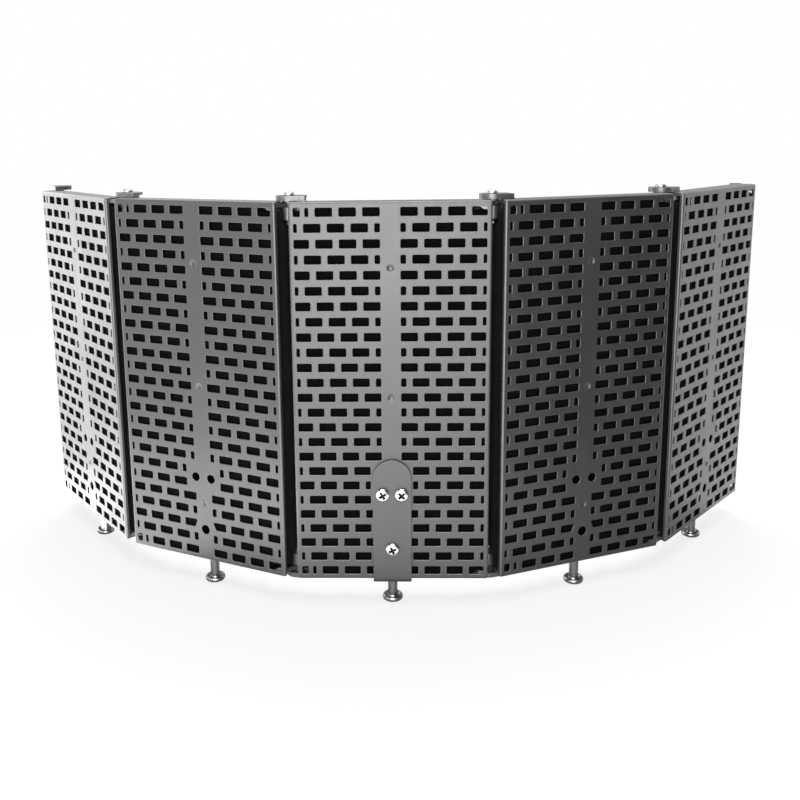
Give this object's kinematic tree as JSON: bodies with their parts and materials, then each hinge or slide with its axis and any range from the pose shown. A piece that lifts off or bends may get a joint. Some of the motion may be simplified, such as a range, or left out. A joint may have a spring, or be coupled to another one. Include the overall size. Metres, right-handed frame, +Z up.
{
  "type": "microphone isolation shield",
  "caption": "Folding desk shield for a microphone: perforated grey sheet-metal panels with dark absorber pads, corner pivot hinges, levelling feet and a front bracket.",
  "frame": {"origin": "on the desk at the centre of the centre panel's foot", "axes": "+X to the right along the centre panel seen from outside, +Y towards the hollow side where the microphone stands, +Z up"},
  "size_m": [0.6758, 0.2163, 0.3322],
  "materials": {
    "powder_coat": "semi-matt dark grey powder coat with a fine texture",
    "bracket_paint": "semi-matt dark grey powder coat, a shade darker",
    "hinge_paint": "semi-matt grey paint on steel",
    "absorber_foam": "black open-cell acoustic foam",
    "zinc": "zinc-plated steel",
    "bright_zinc": "bright zinc-plated steel",
    "foot_steel": "dull zinc-plated steel"
  },
  "bodies": {
    "panel_far_left": {"shell_far_left": "powder_coat", "pad_far_left": "absorber_foam", "hinge_plates_far_left": "hinge_paint", "hinge_barrels_far_left": "hinge_paint", "hinge_eyes_far_left": "hinge_paint", "hinge_fasteners_far_left": "zinc", "foot_nut_far_left": "zinc"},
    "panel_left": {"shell_left": "powder_coat", "pad_left": "absorber_foam", "hinge_plates_left": "hinge_paint", "hinge_barrels_left": "hinge_paint", "hinge_eyes_left": "hinge_paint", "hinge_fasteners_left": "zinc", "pivot_screws_left_outer": "zinc", "foot_nut_left": "zinc"},
    "panel_centre": {"shell_centre": "powder_coat", "pad_centre": "absorber_foam", "hinge_plates_centre": "hinge_paint", "hinge_barrels_centre": "hinge_paint", "hinge_eyes_centre": "hinge_paint", "hinge_fasteners_centre": "zinc", "pivot_screws_left_inner": "zinc", "foot_nut_centre": "zinc", "front_bracket": "bracket_paint", "bracket_screws": "bright_zinc", "bracket_washers": "zinc", "bracket_nuts": "zinc"},
    "panel_right": {"shell_right": "powder_coat", "pad_right": "absorber_foam", "hinge_plates_right": "hinge_paint", "hinge_barrels_right": "hinge_paint", "hinge_eyes_right": "hinge_paint", "hinge_fasteners_right": "zinc", "pivot_screws_right_inner": "zinc", "foot_nut_right": "zinc"},
    "panel_far_right": {"shell_far_right": "powder_coat", "pad_far_right": "absorber_foam", "hinge_plates_far_right": "hinge_paint", "hinge_barrels_far_right": "hinge_paint", "hinge_eyes_far_right": "hinge_paint", "hinge_fasteners_far_right": "zinc", "pivot_screws_right_outer": "zinc", "foot_nut_far_right": "zinc"},
    "foot_far_left": {"foot_stem_far_left": "foot_steel", "foot_base_far_left": "foot_steel"},
    "foot_left": {"foot_stem_left": "foot_steel", "foot_base_left": "foot_steel"},
    "foot_centre": {"foot_stem_centre": "foot_steel", "foot_base_centre": "foot_steel"},
    "foot_right": {"foot_stem_right": "foot_steel", "foot_base_right": "foot_steel"},
    "foot_far_right": {"foot_stem_far_right": "foot_steel", "foot_base_far_right": "foot_steel"}
  },
  "joints": [
    {"name": "fold_left_inner", "type": "hinge", "parent": "panel_centre", "child": "panel_left", "pos_m": [-0.07785, 0.0085, 0.174], "axis": [0, 0, -1], "range_deg": [-28.47, 41.53]},
    {"name": "fold_left_outer", "type": "hinge", "parent": "panel_left", "child": "panel_far_left", "pos_m": [-0.22067, 0.07051, 0.174], "axis": [0, 0, -1], "range_deg": [-31.35, 38.65]},
    {"name": "fold_right_inner", "type": "hinge", "parent": "panel_centre", "child": "panel_right", "pos_m": [0.07785, 0.0085, 0.174], "axis": [0, 0, 1], "range_deg": [-26.79, 43.21]},
    {"name": "fold_right_outer", "type": "hinge", "parent": "panel_right", "child": "panel_far_right", "pos_m": [0.22243, 0.0663, 0.174], "axis": [0, 0, 1], "range_deg": [-30.97, 39.03]},
    {"name": "foot_far_left_height", "type": "slide", "parent": "panel_far_left", "child": "foot_far_left", "axis": [0, 0, 1], "range_m": [-0.01, 0]},
    {"name": "foot_left_height", "type": "slide", "parent": "panel_left", "child": "foot_left", "axis": [0, 0, 1], "range_m": [-0.01, 0]},
    {"name": "foot_centre_height", "type": "slide", "parent": "panel_centre", "child": "foot_centre", "axis": [0, 0, 1], "range_m": [-0.01, 0]},
    {"name": "foot_right_height", "type": "slide", "parent": "panel_right", "child": "foot_right", "axis": [0, 0, 1], "range_m": [-0.01, 0]},
    {"name": "foot_far_right_height", "type": "slide", "parent": "panel_far_right", "child": "foot_far_right", "axis": [0, 0, 1], "range_m": [-0.01, 0]}
  ]
}
